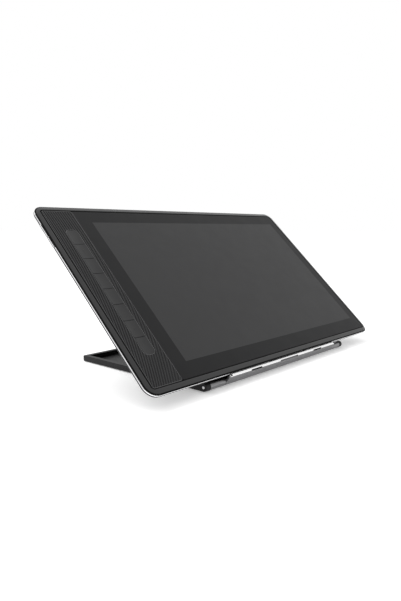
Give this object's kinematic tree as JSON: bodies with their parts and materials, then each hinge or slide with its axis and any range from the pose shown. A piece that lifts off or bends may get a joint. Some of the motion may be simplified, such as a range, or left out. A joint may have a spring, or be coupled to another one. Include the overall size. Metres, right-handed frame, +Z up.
{
  "type": "pen drawing tablet",
  "caption": "Pen display with a dark glass face, a column of express keys on a textured plate and a folding black stand with a metal rest lip.",
  "frame": {"origin": "on the table, under the middle of the whole object as it stands at its working tilt", "axes": "+X to the right of a person facing the screen, +Y away from that person, +Z up"},
  "size_m": [0.437, 0.2069, 0.1854],
  "materials": {
    "bezel_plastic": "fine matte, slightly satin on the sloping shoulder",
    "bright_trim": "satin side with a bright machined bevel",
    "dark_shell": "fine bead-blasted, dark anodised",
    "inner_plastic": "moulded, matte",
    "black_steel": "blackened",
    "rubber": "matte",
    "etched_glass": "etched anti-glare surface over a black printed border and an unlit display",
    "foam": "closed-cell foam tape",
    "panel_glass": "unlit display",
    "light_guide": "white",
    "circuit_board": "solder mask",
    "shield_metal": "plain sheet",
    "textured_plate": "embossed with fine diagonal ribs",
    "key_plastic": "satin",
    "side_key_metal": "satin",
    "switch_plastic": "matte",
    "ribbon_film": "polyimide film",
    "socket_metal": "plated",
    "stand_black": "fine black powder coat",
    "nylon": "matte",
    "pin_steel": "bright",
    "hinge_aluminium": "satin anodised"
  },
  "bodies": {
    "base": {"base_tray": "stand_black", "base_feet": "rubber", "detent_rack": "nylon", "hinge_pin": "pin_steel", "left_sleeve": "hinge_aluminium", "right_sleeve": "hinge_aluminium", "left_washer": "nylon", "right_washer": "nylon"},
    "support": {"support_plate": "stand_black", "rest_bar": "hinge_aluminium", "rest_pads": "rubber", "rest_plugs": "nylon", "support_pads": "rubber", "support_screws": "black_steel", "strut_pin": "pin_steel"},
    "strut": {"strut_panel": "stand_black", "strut_foot": "rubber"},
    "tablet": {"rear_shell": "dark_shell", "front_bezel": "bezel_plastic", "trim_frame": "bright_trim", "mid_frame": "inner_plastic", "rear_screws": "black_steel", "rear_feet": "rubber", "cover_glass": "etched_glass", "glass_gasket": "foam", "display_panel": "panel_glass", "backlight": "light_guide", "pen_sensor_board": "circuit_board", "shield_plate": "shield_metal", "key_plate": "textured_plate", "key_board": "circuit_board", "key_domes": "shield_metal", "side_switches": "switch_plastic", "side_board": "circuit_board", "main_board": "circuit_board", "board_chips": "switch_plastic", "panel_ribbon": "ribbon_film", "key_ribbon": "ribbon_film", "port_bezel": "inner_plastic", "usb_socket_lower": "socket_metal", "usb_socket_upper": "socket_metal", "port_board": "circuit_board"},
    "key_1": {"key_1": "key_plastic"},
    "key_2": {"key_2": "key_plastic"},
    "key_3": {"key_3": "key_plastic"},
    "key_4": {"key_4": "key_plastic"},
    "key_5": {"key_5": "key_plastic"},
    "key_6": {"key_6": "key_plastic"},
    "key_7": {"key_7": "key_plastic"},
    "key_8": {"key_8": "key_plastic"},
    "power_key": {"power_key": "side_key_metal"},
    "brightness_rocker": {"brightness_rocker": "side_key_metal"}
  },
  "joints": [
    {"name": "support_hinge", "type": "hinge", "parent": "base", "child": "support", "pos_m": [0.0046, -0.0931, 0.005], "axis": [1, 0, 0], "range_deg": [-43.5, 16.5]},
    {"name": "strut_hinge", "type": "hinge", "parent": "support", "child": "strut", "pos_m": [0.0046, -0.02823, 0.06449], "axis": [1, 0, 0], "range_deg": [-33, 87]},
    {"name": "tablet_lift", "type": "slide", "parent": "support", "child": "tablet", "axis": [0, -0.6884, 0.7254], "range_m": [0, 0.06]},
    {"name": "key_1_press", "type": "slide", "parent": "tablet", "child": "key_1", "axis": [0, 0.6884, -0.7254], "range_m": [0, 0.0005], "stiffness_N_per_m": 1200, "springref_m": -0.0002},
    {"name": "key_2_press", "type": "slide", "parent": "tablet", "child": "key_2", "axis": [0, 0.6884, -0.7254], "range_m": [0, 0.0005], "stiffness_N_per_m": 1200, "springref_m": -0.0002},
    {"name": "key_3_press", "type": "slide", "parent": "tablet", "child": "key_3", "axis": [0, 0.6884, -0.7254], "range_m": [0, 0.0005], "stiffness_N_per_m": 1200, "springref_m": -0.0002},
    {"name": "key_4_press", "type": "slide", "parent": "tablet", "child": "key_4", "axis": [0, 0.6884, -0.7254], "range_m": [0, 0.0005], "stiffness_N_per_m": 1200, "springref_m": -0.0002},
    {"name": "key_5_press", "type": "slide", "parent": "tablet", "child": "key_5", "axis": [0, 0.6884, -0.7254], "range_m": [0, 0.0005], "stiffness_N_per_m": 1200, "springref_m": -0.0002},
    {"name": "key_6_press", "type": "slide", "parent": "tablet", "child": "key_6", "axis": [0, 0.6884, -0.7254], "range_m": [0, 0.0005], "stiffness_N_per_m": 1200, "springref_m": -0.0002},
    {"name": "key_7_press", "type": "slide", "parent": "tablet", "child": "key_7", "axis": [0, 0.6884, -0.7254], "range_m": [0, 0.0005], "stiffness_N_per_m": 1200, "springref_m": -0.0002},
    {"name": "key_8_press", "type": "slide", "parent": "tablet", "child": "key_8", "axis": [0, 0.6884, -0.7254], "range_m": [0, 0.0005], "stiffness_N_per_m": 1200, "springref_m": -0.0002},
    {"name": "power_key_press", "type": "slide", "parent": "tablet", "child": "power_key", "axis": [1, 0, 0], "range_m": [0, 0.0004], "stiffness_N_per_m": 1500, "springref_m": -0.0002},
    {"name": "brightness_rock", "type": "hinge", "parent": "tablet", "child": "brightness_rocker", "pos_m": [-0.2148, 0.05359, 0.15971], "axis": [0, -0.6884, 0.7254], "range_deg": [-1.5, 1.5], "stiffness_Nm_per_rad": 0.25}
  ],
  "couplings": [
    {"joint": "strut_hinge", "follows": "support_hinge", "ratio": -2}
  ]
}
